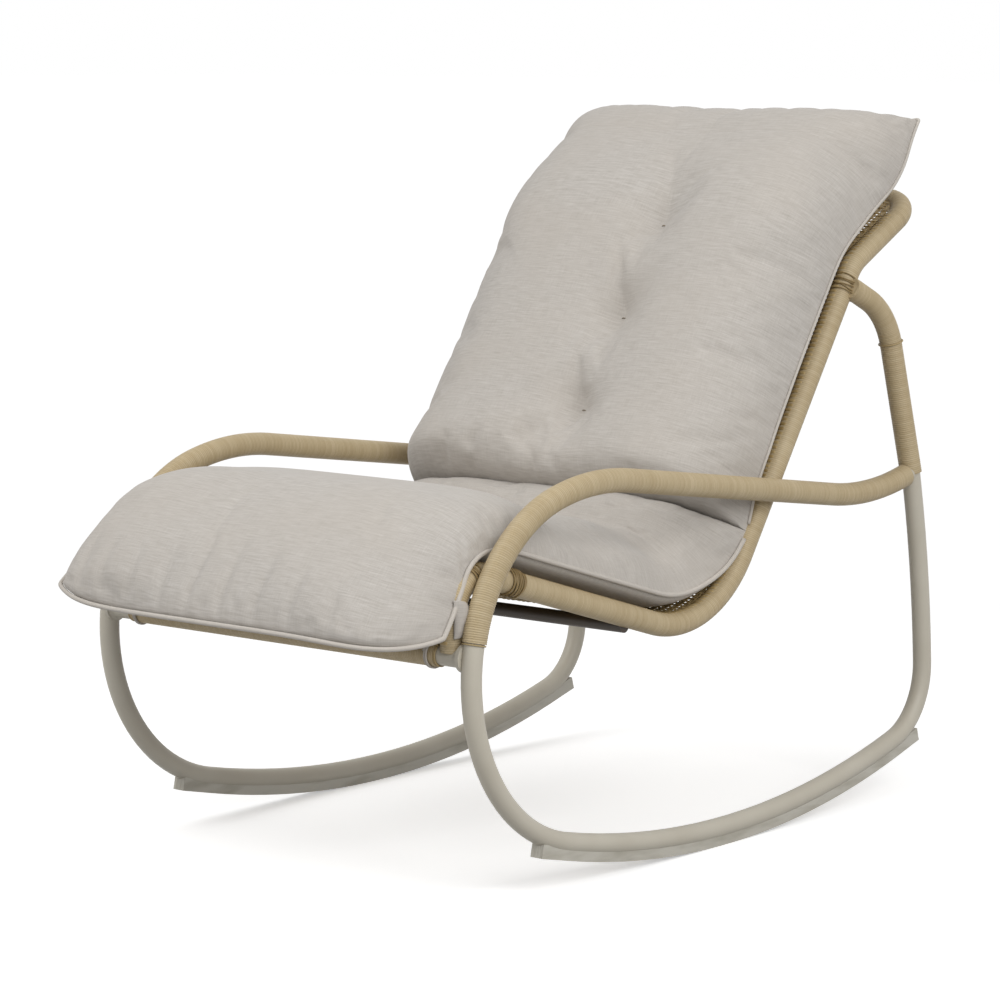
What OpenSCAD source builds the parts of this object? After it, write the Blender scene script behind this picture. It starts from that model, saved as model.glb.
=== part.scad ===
// A low lounge rocking chair: two bent tube side loops that roll on glide strips, a bent
// seat and back frame wound with wicker and woven across, and a tufted two-panel pad.
// +Z is up, +X is the sitter's left and the chair faces -Y. The origin is on the floor,
// under the point where the rockers touch it at rest, midway between the side loops.

/* [Tube and winding] */
// Outside diameter of every frame tube
tube_d = 25.4; // [22:0.1:28]
// Thickness of the wicker wound round a tube
winding_t = 2.35; // [1.6:0.05:3]
// Thickness of one loose wicker strand
strand_d = 3; // [2:0.1:3.6]

/* [Side loops] */
// Distance between the centre planes of the two side loops
loop_spacing = 611.7; // [560:0.1:660]
// Bend radius of the rocker, along the tube's centre
rocker_r = 1434.9; // [1300:0.1:1600]
// Sweep of the rocker in front of the point of contact
rocker_front_turn = 12.65; // [11:0.05:14]
// Sweep of the rocker behind the point of contact
rocker_rear_turn = 15.97; // [14:0.05:17]
// Bend radius where the rocker turns up into the front post
toe_r = 227.5; // [190:0.5:250]
// Sweep of that bend
toe_turn = 76; // [72:0.5:80]
// Bend radius of the front post
post_r = 210.8; // [195:0.1:230]
// Sweep of the front post
post_turn = 76.6; // [72:0.1:80]
// Bend radius where the post runs out into the arm
elbow_r = 358.9; // [320:0.1:400]
// Sweep of that bend
elbow_turn = 22.56; // [20:0.02:25]
// Bend radius of the arm's upturned rear end
arm_end_r = 456.4; // [400:0.1:500]
// Sweep of the arm's upturned rear end
arm_end_turn = 23.6; // [20:0.1:26]
// Bend radius where the rocker turns up into the rear leg
heel_r = 98.15; // [85:0.05:115]
// Sweep of that bend
heel_turn = 76.7; // [74:0.1:79]
// Bend radius of the slightly bowed rear leg
leg_r = 1587; // [1400:1:1800]
// Sweep of the rear leg
leg_turn = 9.8; // [8.5:0.1:11]

/* [Rear struts] */
// Lean of the strut off the arm, measured from level
strut_lean = 101.1; // [97:0.1:104]
// Straight length of the strut above the arm
strut_l = 176.3; // [150:0.1:195]
// Bend radius at the top of the strut
strut_r = 90; // [70:1:110]
// Sweep of that bend
strut_turn = 54; // [46:1:60]
// How far the strut draws in towards the back tube
strut_inset = 17.4; // [12:0.1:20]
// Straight length of the leg, above and below the arm
leg_stub = 18; // [17:0.5:20]
// Length of the leg wound below the arm
wrap_below_arm = 3; // [1:0.5:5]
// Length of strut left unwound at the back tube
strut_bare_l = 4; // [3:0.5:10]

/* [Front rail] */
// Distance up the post bend from its start to the rail
rail_up = 33.8; // [25:0.1:45]
// Length of bare rail left at each end beside the post
rail_bare_l = 38; // [34:0.5:45]
// Size of the weld fillet round each end of the rail
weld_r = 5; // [3:0.5:6]
// Distance from the rail's centre up to the post's winding
post_bare_above_rail = 18.6; // [18:0.1:30]

/* [Seat and back frame] */
// Slope of the seat tubes, down to the rear
seat_slope = 16.7; // [13:0.1:20]
// Slope of the back tubes from level
back_slope = 56.3; // [52:0.1:62]
// Slope of the head section from level
head_slope = 28; // [22:0.1:35]
// Height of the seat's front corner above the rail
front_rise = 106.9; // [95:0.1:120]
// Bend radius at the front edge of the seat
front_edge_r = 45; // [38:1:52]
// Straight length of a seat tube
seat_l = 342.2; // [320:1:380]
// Bend radius where the seat turns up into the back
low_bend_r = 167.9; // [150:1:190]
// Straight length of a back tube
back_l = 423; // [390:0.5:450]
// Bend radius between the back and the head section
head_bend_r = 60; // [48:1:66]
// Straight length of the head section's sides
head_l = 101; // [70:0.1:120]
// Corner radius of the head rail
head_corner_r = 54; // [44:1:64]
// Distance from the head bend down to the head rail's joint
head_joint_l = 12; // [8:0.5:13]
// Diameter of the bar under the seat
cross_bar_d = 18; // [14:0.5:20]
// Distance from the seat's front bend back to the bar under the seat
cross_bar_back = 286; // [200:1:320]
// How far that bar sits below the seat tubes' centres
cross_bar_drop = 13; // [8:0.5:16]

/* [Glide strips] */
// Width of a glide strip
glide_w = 18.5; // [16:0.5:24]
// Thickness of a glide strip under the tube
glide_t = 9; // [6:0.5:12]
// Straight length of a glide strip past the front of the rocker
glide_front_l = 54; // [40:1:60]
// Straight length of a glide strip past the rear of the rocker
glide_rear_l = 48; // [36:1:54]

/* [Woven panel] */
// Number of long strands across the panel
warp_count = 12; // [8:1:14]
// Distance between cross strands
weft_pitch = 50; // [45:1:60]
// Height of the panel above the seat tubes' centres
panel_lift = 8; // [5:0.5:9]
// Width of the strand band at each end of a cross strand
band_w = 9; // [6:0.5:12]

/* [Pad] */
// Width of the pad at its widest
pad_w = 560; // [520:1:572]
// Height of the pad's seam above the seat tubes' centres
pad_seam_lift = 38; // [34:1:42]
// Height of the seat panel's crown above its seam
seat_crown = 76; // [60:1:80]
// Height of the back panel's crown above its seam
back_crown = 78; // [60:1:82]
// Depth of the pad below its seam
pad_belly = 28; // [20:1:34]
// Diameter of the piping round the pad
piping_d = 6; // [4:0.5:8]
// Depth of a sewn tuft
tuft_depth = 28; // [10:1:34]

/* [Hidden] */
$fn = 48;
fit_gap = 0.1;
soft_gap = 0.3;
wound_d = tube_d + 2 * (winding_t + fit_gap);
loop_x = loop_spacing / 2;
seat_x = loop_x - wound_d - fit_gap;
tube_z = glide_t + tube_d / 2;
bore_d = tube_d + 2 * fit_gap;
ring_rise = 0.05;
ring_half = 0.5;
trim = 0.1;
$fn_round = $fn;
function arc_fn(r) = max($fn, 24 * ceil(sqrt(r) / 2.5));

// A run is a list of straight and bent stretches in one plane: ["line", length],
// ["arc", radius, turn to the left] and ["roll", turn of the plane about the run].
// A pose is [x, y, heading] in that plane.
function step(p, at, s) =
    p[0] == "line" ? [at.x + s * cos(at.z), at.y + s * sin(at.z), at.z]
    : let (side = sign(p[2]), to = at.z + side * s / p[1] * 180 / PI)
        [at.x + side * p[1] * (sin(to) - sin(at.z)), at.y - side * p[1] * (cos(to) - cos(at.z)), to];
function length_of(p) = p[0] == "line" ? p[1] : p[0] == "arc" ? p[1] * abs(p[2]) * PI / 180 : 0;
function run_length(run, i = 0) = i == len(run) ? 0 : length_of(run[i]) + run_length(run, i + 1);
function pose(run, s, at, i = 0) =
    i == len(run) - 1 || s <= length_of(run[i]) ? step(run[i], at, s)
    : pose(run, s - length_of(run[i]), step(run[i], at, length_of(run[i])), i + 1);
function end_pose(run, at) = pose(run, run_length(run), at);
// The part of a run from arc length a to arc length b
function cut_run(run, a, b, i = 0) =
    i == len(run) || b <= 0 ? []
    : let (l = length_of(run[i]), from = max(a, 0), to = min(b, l))
        concat(to > from
            ? [run[i][0] == "line" ? ["line", to - from]
                : ["arc", run[i][1], run[i][2] * (to - from) / l]]
            : [], cut_run(run, a - l, b - l, i + 1));
// The parallel run at a distance to the left
function beside(run, off) =
    [for (p = run) p[0] == "arc" ? ["arc", p[1] - sign(p[2]) * off, p[2]] : p];
function left_of(at, off) = [at.x - off * sin(at.z), at.y + off * cos(at.z), at.z];
function cross2(a, b) = a.x * b.y - a.y * b.x;
function heading(a) = [cos(a), sin(a)];
// Distance along the heading of pose a to where it crosses the line through pose b
function meet(a, b) =
    cross2([b.x - a.x, b.y - a.y], heading(b.z)) / cross2(heading(a.z), heading(b.z));
function swap(at) = [-at.x, at.y, 180 - at.z];

// Side loop, in the plane of Y and Z: the front run starts at the contact point and is
// drawn towards the front, so its poses are mirrored by swap()
loop_start = [0, tube_z, 0];
rocker_front = ["arc", rocker_r, rocker_front_turn];
rocker_rear = ["arc", rocker_r, rocker_rear_turn];
leg_run = [rocker_rear, ["arc", heel_r, heel_turn], ["arc", leg_r, leg_turn]];
leg_top = end_pose(leg_run, loop_start);
post_start_s = length_of(rocker_front) + toe_r * toe_turn * PI / 180;
arm_bends = [rocker_front, ["arc", toe_r, toe_turn], ["arc", post_r, post_turn],
    ["arc", elbow_r, elbow_turn]];
arm_start = end_pose(arm_bends, loop_start);
arm_end_bend = ["arc", arm_end_r, -arm_end_turn];
arm_end_from_start = end_pose([arm_end_bend], arm_start);
arm_l = meet([arm_end_from_start.x, arm_end_from_start.y, arm_start.z], swap(leg_top));
arm_run = concat(arm_bends, [["line", arm_l], arm_end_bend]);

// The same loop as one run, from the arm's rear tip round the front and along the rocker
// to the top of the leg
arm_length = run_length(arm_run);
arm_tip = swap(end_pose(arm_run, loop_start));
loop_tip = [arm_tip.x, arm_tip.y, arm_tip.z + 180];
loop_run = concat([for (i = [len(arm_run) - 1 : -1 : 1]) arm_run[i]],
    [["arc", rocker_r, rocker_front_turn + rocker_rear_turn], leg_run[1], leg_run[2]]);

// Front rail
rail_s = post_start_s + rail_up;
rail_at = swap(pose(arm_run, rail_s, loop_start));
rail_wound_x = loop_x - tube_d / 2 - rail_bare_l;
post_wound_s = rail_s + post_bare_above_rail;

// Seat and back side tube, from the rail up over the front edge and back to the head
front_turn = 90 + seat_slope;
front_tangent = front_edge_r * tan(front_turn / 2);
drop_l = front_rise - front_tangent;
seat_start = [rail_at.x, rail_at.y, 90];
low_turn = seat_slope + back_slope;
seat_run = [["line", drop_l], ["arc", front_edge_r, -front_turn], ["line", seat_l],
    ["arc", low_bend_r, low_turn], ["line", back_l - head_joint_l]];
head_side = [["line", head_joint_l], ["arc", head_bend_r, head_slope - back_slope],
    ["line", head_l]];
side_run = concat(seat_run, head_side);
edge_s = drop_l + length_of(seat_run[1]);
bend_s = edge_s + seat_l;
back_s = bend_s + length_of(seat_run[3]);
joint_s = run_length(seat_run);
head_start = end_pose(seat_run, seat_start);
head_half = seat_x - head_corner_r;
function on_side(s, off = 0) = left_of(pose(side_run, s, seat_start), off);

// Strut, in a plane that draws in towards the back tube
strut_start = [leg_top.x, leg_top.y, strut_lean];
strut_bend = [["line", strut_l], ["arc", strut_r, strut_turn]];
strut_bend_end = end_pose(strut_bend, strut_start);
strut_end_l = meet(strut_bend_end, head_start);
strut_run = concat(strut_bend, [["line", strut_end_l]]);
strut_end = end_pose(strut_run, strut_start);
strut_draw = atan(strut_inset / (strut_end.y - strut_start.y));
strut_s = joint_s - norm([head_start.x - strut_end.x, head_start.y - strut_end.y]);

// Woven panel
weft_reach = sqrt(pow(wound_d / 2, 2) - pow(panel_lift - strand_d / 2, 2)) + soft_gap;
weft_x = seat_x - weft_reach;
warp_pitch = 2 * weft_x / (warp_count + 1);
panel_top = panel_lift + strand_d * 1.5 + fit_gap;
panel_first_s = weft_reach;
side_l = run_length(side_run);
weft_count = floor((side_l - panel_first_s) / weft_pitch + 0.5);
function weft_s(i) = panel_first_s + (i + 0.5) * weft_pitch;

// Pad: a seam line that hangs over the front, follows the seat and the back and curls up
// past the head rail, cut at the fold into the seat panel and the back panel
pad_nose_slope = 37;
pad_front = [["line", 140], ["arc", 92, -seat_slope - pad_nose_slope]];
pad_seat = ["line", 342];
pad_seat_at = on_side(bend_s, pad_seam_lift);
pad_start_offset = end_pose(concat(pad_front, [pad_seat]), [0, 0, pad_nose_slope]);
pad_start = [pad_seat_at.x - pad_start_offset.x, pad_seat_at.y - pad_start_offset.y, pad_nose_slope];
pad_head = [["arc", 170, -19], ["line", 88], ["arc", 90, 17], ["line", 92]];
pad_run = concat(pad_front, [pad_seat, ["arc", low_bend_r - pad_seam_lift, low_turn],
    ["line", back_l - 18]], pad_head);
pad_l = run_length(pad_run);
pad_front_l = run_length(pad_front);
pad_bend_s = pad_front_l + pad_seat[1];
fold_s = pad_bend_s + 0.62 * length_of(pad_run[3]);
pad_half = pad_w / 2;
left_corner = 66;
right_corner = 18;
left_droop = 48;
right_droop = 15;
nose_room = 34;
pad_waist = 0.022;
pad_belly_max = pad_seam_lift - panel_top - soft_gap;
pad_cols = 20;
seat_rows = 26;
back_rows = 28;
edge_t = 2.4;
tufts = [for (d = [75, 180, 315, 465]) [fold_s + d, 0]];

function ease(t) = let (u = min(max(t, 0), 1)) u * u * (3 - 2 * u);
function bulge(t) = pow(max(1 - pow(abs(t), 5.5), 0), 0.43);
// Outline of a panel: a runs across from -1 to 1, b from its open end (0) to the fold (1)
function pad_x(a, b) =
    a * pad_half * (1 - pad_waist * sin(180 * b) - 0.02 * pow(1 - b, 12));
function pad_s(open_s, a, b) =
    let (inward = sign(fold_s - open_s))
    open_s + (fold_s - inward * soft_gap / 2 - open_s) * b
        + inward * (a > 0 && inward > 0 ? left_corner : right_corner) * pow(a, 8) * pow(1 - b, 6);
// How far the seam hangs below the seam line where the pad wraps the seat's front corners
function droop(s, a) =
    (a > 0 ? left_droop : right_droop) * pow(abs(a), 5) * (1 - ease((s - 40) / 240));
function pinch(s, x) =
    tuft_depth * max([for (t = tufts) exp(-(pow(s - t[0], 2) + pow(x - t[1], 2)) / 1500)])
    + 7 * exp(-pow(x, 2) / 900) * ease((s - fold_s - 20) / 60);
function crown(s) =
    s < fold_s ? seat_crown * (0.42 + 0.58 * ease((s - pad_front_l + 80) / 220))
        + 18 * ease((s - pad_bend_s + 120) / 150) - 22 * ease((s - fold_s + 34) / 34)
    : back_crown + 22 * (1 - ease((s - fold_s) / 160)) - 22 * (1 - ease((s - fold_s) / 34));
function belly(s, low) =
    let (room = s < pad_front_l ? nose_room : pad_belly_max)
    min(s < pad_front_l ? 0.9 * pad_belly : pad_belly, max(room - low, edge_t / 2));
function pad_point(open_s, a, b, top) =
    let (s = pad_s(open_s, a, b), x = pad_x(a, b), at = pose(pad_run, s, pad_start),
        open = bulge(max(1 - 2.4 * b, 0) * 0.995), full = bulge(a) * open, low = droop(s, a),
        n = top ? max(crown(s) * full - pinch(s, x) * full, edge_t / 2 * sign(full))
            : -max(belly(s, low) * full, edge_t / 2 * sign(full)),
        p = left_of(at, n - low))
    [x, p.x, p.y];
// One filled panel: rings of points round the pad, from the open end to the fold
module panel(open_s, rows) {
    ring = 2 * pad_cols;
    function across(j) = sin(90 * (2 * j / pad_cols - 1));
    function along(i) = pow(i / rows, 1.35);
    points = [for (i = [0:rows]) each concat(
        [for (j = [0:pad_cols]) pad_point(open_s, across(j), along(i), true)],
        [for (j = [pad_cols - 1:-1:1]) pad_point(open_s, across(j), along(i), false)])];
    sides = [for (i = [0:rows - 1]) for (j = [0:ring - 1])
        let (k = (j + 1) % ring, a = i * ring + j, b = i * ring + k, c = a + ring, d = b + ring)
        each [[a, b, c], [b, d, c]]];
    function cap(first) = [for (j = [0:pad_cols - 1])
        let (a = first + j, b = a + 1, c = first + (ring - j) % ring, d = first + ring - j - 1)
        each concat(j == 0 ? [] : [[a, b, c]], j == pad_cols - 1 ? [] : [[b, d, c]])];
    function flip(faces) = [for (f = faces) [f[0], f[2], f[1]]];
    ends = concat(flip(cap(0)), cap(rows * ring));
    polyhedron(points, open_s < fold_s ? flip(concat(sides, ends)) : concat(sides, ends));
}
// A round cord swept along a list of points, with six sides
module cord(points, d) {
    n = len(points);
    sides = 6;
    function unit(v) = v / norm(v);
    rings = [for (i = [0:n - 1])
        let (t = unit(points[min(i + 1, n - 1)] - points[max(i - 1, 0)]),
            u = unit(cross(t, abs(t.x) > 0.9 ? [0, 0, 1] : [1, 0, 0])), v = cross(t, u))
        each [for (k = [0:sides - 1])
            points[i] + d / 2 * (cos(360 * k / sides) * u + sin(360 * k / sides) * v)]];
    faces = [for (i = [0:n - 2]) for (k = [0:sides - 1])
        let (a = i * sides + k, b = i * sides + (k + 1) % sides)
        each [[a, a + sides, b], [b, a + sides, b + sides]]];
    start = [for (k = [1:sides - 2]) [0, k, k + 1]];
    last = (n - 1) * sides;
    end = [for (k = [1:sides - 2]) [last, last + k + 1, last + k]];
    polyhedron(rings, concat(faces, start, end));
}
// Piping round a panel's open edge: down one side, across the open end, up the other
module piping(open_s) {
    reach = piping_d / 2 + soft_gap;
    inward = sign(fold_s - open_s);
    function edge(a, b) =
        let (s = pad_s(open_s, a, b), at = left_of(pose(pad_run, s, pad_start), -droop(s, a)))
        [pad_x(a, b), at.x, at.y];
    function out(a, b) =
        let (p = edge(a, b), at = pose(pad_run, pad_s(open_s, a, b), pad_start),
            c = max(abs(a), 0.001), side = b > 0.02 ? 1 : pow(c, 8), end = b > 0.06 ? 0 : 1 - side * b / 0.06,
            k = reach / norm([side, end]))
        p + [sign(a) * side * k, -inward * end * k * cos(at.z), -inward * end * k * sin(at.z)];
    left = [for (i = [0:22]) out(-1, pow(1 - i / 22, 1.6) * 0.985 + 0.001)];
    front = [for (i = [1:17]) out(-cos(180 * i / 18), 0)];
    right = [for (i = [0:22]) out(1, pow(i / 22, 1.6) * 0.985 + 0.001)];
    cord(concat(left, front, right), piping_d);
}

// Drawing along a run
module upright() rotate([90, 0, 90]) children();
module at_pose(at) translate([at.x, at.y, 0]) rotate([0, 0, at.z]) children();
// A bar bent along a run. A ring a hair wider than the bar closes each change of stretch,
// and a bore also has one at each end, so that it runs clear of what it is cut from.
module bar(run, d, bore = false, i = 0) {
    joined = i > 0 || bore;
    if (joined && (i == 0 || run[i - 1][0] != "roll"))
        rotate([0, 90, 0]) cylinder(d = d + 2 * ring_rise, h = 2 * ring_half, center = true);
    if (i < len(run)) {
        p = run[i];
        lead = joined ? trim : 0;
        tail = bore || i < len(run) - 1 ? trim : 0;
        if (p[0] == "line") {
            translate([lead, 0, 0]) rotate([0, 90, 0]) cylinder(d = d, h = p[1] - lead - tail);
            if (tail > 0) translate([p[1], 0, 0]) bar(run, d, bore, i + 1);
        } else if (p[0] == "roll") {
            rotate([p[1], 0, 0]) bar(run, d, bore, i + 1);
        } else {
            side = sign(p[2]);
            lead_turn = lead / p[1] * 180 / PI;
            tail_turn = tail / p[1] * 180 / PI;
            translate([0, side * p[1], 0]) {
                rotate([0, 0, side > 0 ? lead_turn - 90 : 90 + p[2] + tail_turn])
                    rotate_extrude(angle = abs(p[2]) - lead_turn - tail_turn, $fn = arc_fn(p[1]))
                        translate([p[1], 0]) circle(d = d, $fn = $fn_round);
                if (tail > 0) rotate([0, 0, p[2]]) translate([0, -side * p[1], 0])
                    bar(run, d, bore, i + 1);
            }
        }
    }
}
// Side loops
module loop_bar(d, a, b, bore = false) at_pose(pose(loop_run, a, loop_tip))
    bar(cut_run(loop_run, a, b), d, bore);
module strut_bar(d, a, b, bore = false)
    translate([0, 0, leg_top.y]) rotate([0, -strut_draw, 0]) translate([0, 0, -leg_top.y])
        upright() at_pose(pose(strut_run, a, strut_start)) bar(cut_run(strut_run, a, b), d, bore);
module back_tube(d) translate([seat_x - loop_x, 0, 0]) upright()
    at_pose(on_side(back_s)) bar([["line", back_l]], d);
arm_neck_l = tube_d / 2 + 2;
neck_d = tube_d - 0.8;
module side_loop() {
    run = concat(cut_run(loop_run, arm_neck_l, run_length(loop_run) - leg_stub), [["line", 2 * leg_stub]]);
    color("#b3ac9f") upright() {
        at_pose(pose(loop_run, arm_neck_l, loop_tip)) bar(run, tube_d);
        loop_bar(neck_d, 0, arm_neck_l + 2);
    }
}
strut_from = leg_stub + 1.6;
module strut() {
    color("#b3ac9f") difference() {
        strut_bar(tube_d, strut_from, run_length(strut_run));
        back_tube(tube_d + fit_gap);
    }
}
end_strand_d = 2;
strut_ring_s = strut_l + 4;
arm_wound_from = wound_d / 2 + fit_gap;
arm_wound_to = arm_length - post_wound_s;
module arm_wrap() {
    color("#b29e7a") upright() difference() {
        loop_bar(wound_d, arm_wound_from, arm_wound_to);
        loop_bar(bore_d, arm_wound_from, arm_wound_to, true);
    }
}
module strut_wrap() {
    foot = [strut_start.x - wrap_below_arm * cos(strut_lean),
        strut_start.y - wrap_below_arm * sin(strut_lean), strut_lean];
    run = concat([["line", wrap_below_arm + strut_l]], [strut_bend[1]],
        [["line", strut_end_l - strut_bare_l]]);
    color("#b29e7a") difference() {
        translate([0, 0, leg_top.y]) rotate([0, -strut_draw, 0]) translate([0, 0, -leg_top.y])
            upright() at_pose(foot) difference() {
                bar(run, wound_d);
                bar(run, bore_d, true);
                translate([-1, 0, 0]) rotate([0, 90, 0])
                    cylinder(d = bore_d + 2.8, h = wrap_below_arm + leg_stub + 2);
            }
        upright() loop_bar(bore_d + 1, 0, wound_d, true);
        back_tube(wound_d + fit_gap);
    }
}

// Seat and back frame
seat_tube_s = tube_d / 2 + fit_gap;
module seat_tube() {
    color("#8f8778") upright() at_pose(on_side(seat_tube_s))
        bar(cut_run(seat_run, seat_tube_s, joint_s), tube_d);
}
module seat_wrap() {
    foot_s = 5;
    color("#b29e7a") difference() {
        upright() at_pose(on_side(foot_s)) bar(cut_run(seat_run, foot_s, joint_s), wound_d);
        upright() at_pose(on_side(foot_s)) bar(cut_run(seat_run, foot_s, joint_s), bore_d, true);
        translate([-seat_x, 0, 0]) rail_bar(tube_d + 1.6);
        translate([loop_x - seat_x, 0, 0]) strut_bar(bore_d, strut_l, run_length(strut_run), true);
        translate([-seat_x, 0, 0]) cross_bar_solid(cross_bar_d + 2 * fit_gap);
    }
}
head_run = concat(head_side, [["roll", -90], ["arc", head_corner_r, 90], ["line", 2 * head_half],
    ["arc", head_corner_r, 90], ["roll", 90], ["line", head_l],
    ["arc", head_bend_r, back_slope - head_slope], ["line", head_joint_l]]);
module head_rail() {
    color("#8f8778") translate([seat_x, 0, 0]) upright() at_pose(head_start) bar(head_run, tube_d);
}
module head_rail_wrap() {
    color("#b29e7a") translate([seat_x, 0, 0]) upright() at_pose(head_start) difference() {
        bar(head_run, wound_d);
        bar(head_run, bore_d, true);
    }
}
rail_end_x = loop_x - tube_d / 2 - fit_gap;
module rail_bar(d) translate([-rail_end_x, rail_at.x, rail_at.y]) rotate([0, 90, 0])
    cylinder(d = d, h = 2 * rail_end_x);
module post_bars(d) for (x = [-loop_x, loop_x]) translate([x, 0, 0]) upright()
    loop_bar(d, arm_length - rail_s - 1.5 * tube_d, arm_length - rail_s + 1.5 * tube_d);
module front_rail() color("#b3ac9f") rail_bar(tube_d);
module front_rail_wrap() {
    color("#b29e7a") translate([-rail_wound_x, rail_at.x, rail_at.y]) rotate([0, 90, 0]) difference() {
        cylinder(d = wound_d, h = 2 * rail_wound_x);
        translate([0, 0, -1]) cylinder(d = bore_d, h = 2 * rail_wound_x + 2);
    }
}
module rail_welds() {
    flare_x = loop_x - tube_d / 2 - weld_r;
    flare_l = 2 * weld_r;
    color("#b3ac9f") difference() {
        for (side = [0, 1]) mirror([side, 0, 0]) translate([flare_x, rail_at.x, rail_at.y])
            rotate([0, 90, 0]) rotate_extrude() difference() {
                square([tube_d / 2 + weld_r, flare_l]);
                translate([tube_d / 2 + weld_r, 0]) circle(r = weld_r - fit_gap);
            }
        rail_bar(tube_d + fit_gap);
        post_bars(tube_d + fit_gap);
    }
}
cross_bar_at = on_side(edge_s + cross_bar_back, -cross_bar_drop);
module cross_bar_solid(d) translate([-seat_x, cross_bar_at.x, cross_bar_at.y]) rotate([0, 90, 0])
    cylinder(d = d, h = 2 * seat_x);
module cross_bar() {
    color("#4a3d2c") difference() {
        cross_bar_solid(cross_bar_d);
        for (x = [-seat_x, seat_x]) translate([x, 0, 0]) upright() at_pose(on_side(edge_s))
            bar([["line", seat_l]], tube_d + fit_gap);
    }
}

// Glide strips: a strip whose flat facets follow the rocker, hollowed to the tube above it
module glide_strip() {
    r = rocker_r + tube_z;
    facet = 1;
    facet_r = r / cos(facet / 2);
    top = 4;
    function on_arc(a) = [facet_r * sin(a), r - facet_r * cos(a)];
    function ahead(p, a, l) = p + l * [cos(a), sin(a)];
    front_turn = -rocker_front_turn;
    front_foot = [r * sin(front_turn), r - r * cos(front_turn)];
    rear_foot = [r * sin(rocker_rear_turn), r - r * cos(rocker_rear_turn)];
    lift = tube_z - top;
    front_tip = ahead(front_foot, front_turn, -glide_front_l);
    rear_tip = ahead(rear_foot, rocker_rear_turn, glide_rear_l);
    steps = [for (a = [-floor(rocker_front_turn) + 0.5 * facet : facet : rocker_rear_turn]) on_arc(a)];
    outline = concat([ahead(front_tip, front_turn + 90, lift), front_tip, front_foot], steps,
        [rear_foot, rear_tip, ahead(rear_tip, rocker_rear_turn + 90, lift)],
        [for (a = [15:-3:-12]) [(r - lift) * sin(a), r - (r - lift) * cos(a)]]);
    color("#c9c6bd") difference() {
        translate([-glide_w / 2, 0, 0]) upright() linear_extrude(glide_w) polygon(outline);
        upright() loop_bar(tube_d + fit_gap, arm_length - post_start_s,
            run_length(loop_run) - length_of(leg_run[2]), true);
    }
}

// Woven panel: long strands along the run, and cross strands that pass over and under them
panel_run = concat(side_run, [["line", head_corner_r]]);
corner_in = head_corner_r - weft_reach;
function warp_end(x) =
    side_l + sqrt(pow(corner_in, 2) - pow(max(abs(x) - head_half, 0), 2));
module warps(from, to) {
    for (i = [1:warp_count]) let (x = -weft_x + i * warp_pitch, last = min(to, warp_end(x)))
        translate([x, 0, 0]) upright() at_pose(on_side(from, panel_lift))
            bar(beside(cut_run(panel_run, from, last), panel_lift), strand_d, $fn = 16, $fn_round = 16);
}
module weft(s, phase) {
    at = on_side(s, panel_lift);
    up = [0, -sin(at.z), cos(at.z)];
    swing = strand_d + fit_gap;
    cord([for (i = [0:warp_count + 1])
        let (edge = i == 0 || i == warp_count + 1 ? 0 : 1, side = i % 2 == phase ? 1 : -1)
        [-weft_x + i * warp_pitch, at.x, at.y] + edge * side * swing * up], strand_d);
}
module weave(from, to, tint) {
    color(tint) {
        warps(from + fit_gap / 2, to - fit_gap / 2);
        for (i = [0:weft_count - 1])
            if (weft_s(i) > from && weft_s(i) <= to) weft(weft_s(i), i % 2);
    }
}
low_s = (bend_s + back_s) / 2;
module apron_weave() weave(panel_first_s, edge_s, "#9a8560");
module seat_weave() weave(edge_s, low_s, "#a8936c");
module back_weave() weave(low_s, side_l + corner_in, "#9a8560");

// Strand bands where the cross strands are wound off round the side tubes
module weft_bands() {
    color("#a08a60") for (side = [0, 1]) mirror([side, 0, 0]) translate([seat_x, 0, 0]) upright()
        for (i = [0:weft_count - 1]) if (weft_s(i) < joint_s - 40 && abs(weft_s(i) - edge_s / 2) > 20)
            at_pose(on_side(weft_s(i))) translate([-band_w / 2, 0, 0]) rotate([0, 90, 0])
                rotate([0, 0, -60]) rotate_extrude(angle = 200)
                    translate([wound_d / 2 + fit_gap, 0]) square([strand_d / 3, band_w]);
}
// A ring of thin strand round a bar that lies along X
module strand_ring(around_d, d = end_strand_d) rotate([0, 90, 0]) rotate_extrude()
    translate([around_d / 2 + d / 2 + fit_gap, 0]) circle(d = d, $fn = 16);
// Rings where the windings end on the front rail, on the posts and on the struts
module wrap_end_rings() {
    color("#8a744c") for (side = [0, 1]) mirror([side, 0, 0]) {
        for (i = [0.6, 1.7]) translate([rail_wound_x + i * end_strand_d, rail_at.x, rail_at.y])
            strand_ring(tube_d);
        translate([loop_x, 0, 0]) {
            upright() at_pose(pose(loop_run, arm_wound_to + end_strand_d, loop_tip)) strand_ring(tube_d);
            translate([0, 0, leg_top.y]) rotate([0, -strut_draw, 0]) translate([0, 0, -leg_top.y])
                upright() at_pose(pose(strut_run, strut_ring_s, strut_start)) strand_ring(wound_d);
        }
    }
}
module left(x) translate([x, 0, 0]) children();
module right(x) mirror([1, 0, 0]) translate([x, 0, 0]) children();
left(loop_x) side_loop();  // left_side_loop
right(loop_x) side_loop();  // right_side_loop
left(loop_x) strut();  // left_strut
right(loop_x) strut();  // right_strut
left(loop_x) arm_wrap();  // left_arm_wrap
right(loop_x) arm_wrap();  // right_arm_wrap
left(loop_x) strut_wrap();  // left_strut_wrap
right(loop_x) strut_wrap();  // right_strut_wrap
left(seat_x) seat_tube();  // left_seat_tube
right(seat_x) seat_tube();  // right_seat_tube
left(seat_x) seat_wrap();  // left_seat_wrap
right(seat_x) seat_wrap();  // right_seat_wrap
head_rail();
head_rail_wrap();
front_rail();
front_rail_wrap();
rail_welds();
wrap_end_rings();
cross_bar();
left(loop_x) glide_strip();  // left_glide_strip
right(loop_x) glide_strip();  // right_glide_strip
apron_weave();
seat_weave();
back_weave();
weft_bands();
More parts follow.
